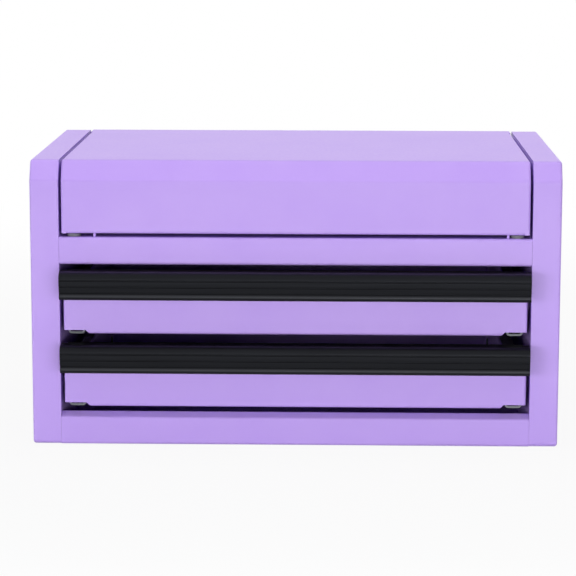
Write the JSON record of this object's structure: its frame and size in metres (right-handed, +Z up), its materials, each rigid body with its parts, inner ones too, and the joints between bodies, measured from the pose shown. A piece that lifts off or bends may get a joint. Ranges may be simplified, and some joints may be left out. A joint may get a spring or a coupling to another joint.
{
  "type": "mini tool chest",
  "caption": "Table-top tool chest of folded sheet steel with a lift-up lid and shallow drawers on ball-bearing slides, each with a full-width pull.",
  "frame": {"origin": "on the ground, under the middle of the chest with its pulls", "axes": "+X to the right seen from the front, +Y to the rear, +Z up"},
  "size_m": [0.305, 0.192, 0.166],
  "materials": {
    "powder_coat": "satin",
    "black_aluminium": "satin",
    "zinc_steel": "satin",
    "eva_foam": "matte",
    "grey_rubber": "matte"
  },
  "bodies": {
    "carcass": {"left_side_shell": "powder_coat", "right_side_shell": "powder_coat", "left_inner_panel": "powder_coat", "right_inner_panel": "powder_coat", "base_pan": "powder_coat", "back_panel": "powder_coat", "till_pan": "powder_coat", "till_liner": "eva_foam", "lid_bumpers": "grey_rubber", "hinge_fixed_leaf": "zinc_steel", "hinge_pin": "zinc_steel", "slide_rail_rivets": "zinc_steel", "upper_left_rail": "zinc_steel", "upper_right_rail": "zinc_steel", "lower_left_rail": "zinc_steel", "lower_right_rail": "zinc_steel"},
    "lid": {"lid_shell": "powder_coat", "hinge_lid_leaf": "zinc_steel"},
    "upper_drawer": {"upper_drawer_front": "powder_coat", "upper_drawer_tray": "powder_coat", "upper_drawer_liner": "eva_foam", "upper_drawer_pull": "black_aluminium", "upper_pull_screws": "zinc_steel", "upper_left_runner": "zinc_steel", "upper_right_runner": "zinc_steel", "upper_runner_rivets": "zinc_steel"},
    "upper_slide_cages": {"upper_ball_cages": "zinc_steel", "upper_slide_balls": "zinc_steel"},
    "lower_drawer": {"lower_drawer_front": "powder_coat", "lower_drawer_tray": "powder_coat", "lower_drawer_liner": "eva_foam", "lower_drawer_pull": "black_aluminium", "lower_pull_screws": "zinc_steel", "lower_left_runner": "zinc_steel", "lower_right_runner": "zinc_steel", "lower_runner_rivets": "zinc_steel"},
    "lower_slide_cages": {"lower_ball_cages": "zinc_steel", "lower_slide_balls": "zinc_steel"}
  },
  "joints": [
    {"name": "lid_hinge", "type": "hinge", "parent": "carcass", "child": "lid", "pos_m": [0, 0.0868, 0.1625], "axis": [-1, 0, 0], "range_deg": [0, 105]},
    {"name": "upper_drawer_slide", "type": "slide", "parent": "carcass", "child": "upper_drawer", "axis": [0, -1, 0], "range_m": [0, 0.105]},
    {"name": "upper_cage_slide", "type": "slide", "parent": "carcass", "child": "upper_slide_cages", "axis": [0, -1, 0], "range_m": [0, 0.0525]},
    {"name": "lower_drawer_slide", "type": "slide", "parent": "carcass", "child": "lower_drawer", "axis": [0, -1, 0], "range_m": [0, 0.105]},
    {"name": "lower_cage_slide", "type": "slide", "parent": "carcass", "child": "lower_slide_cages", "axis": [0, -1, 0], "range_m": [0, 0.0525]}
  ],
  "couplings": [
    {"joint": "upper_cage_slide", "follows": "upper_drawer_slide", "ratio": 0.5},
    {"joint": "lower_cage_slide", "follows": "lower_drawer_slide", "ratio": 0.5}
  ]
}
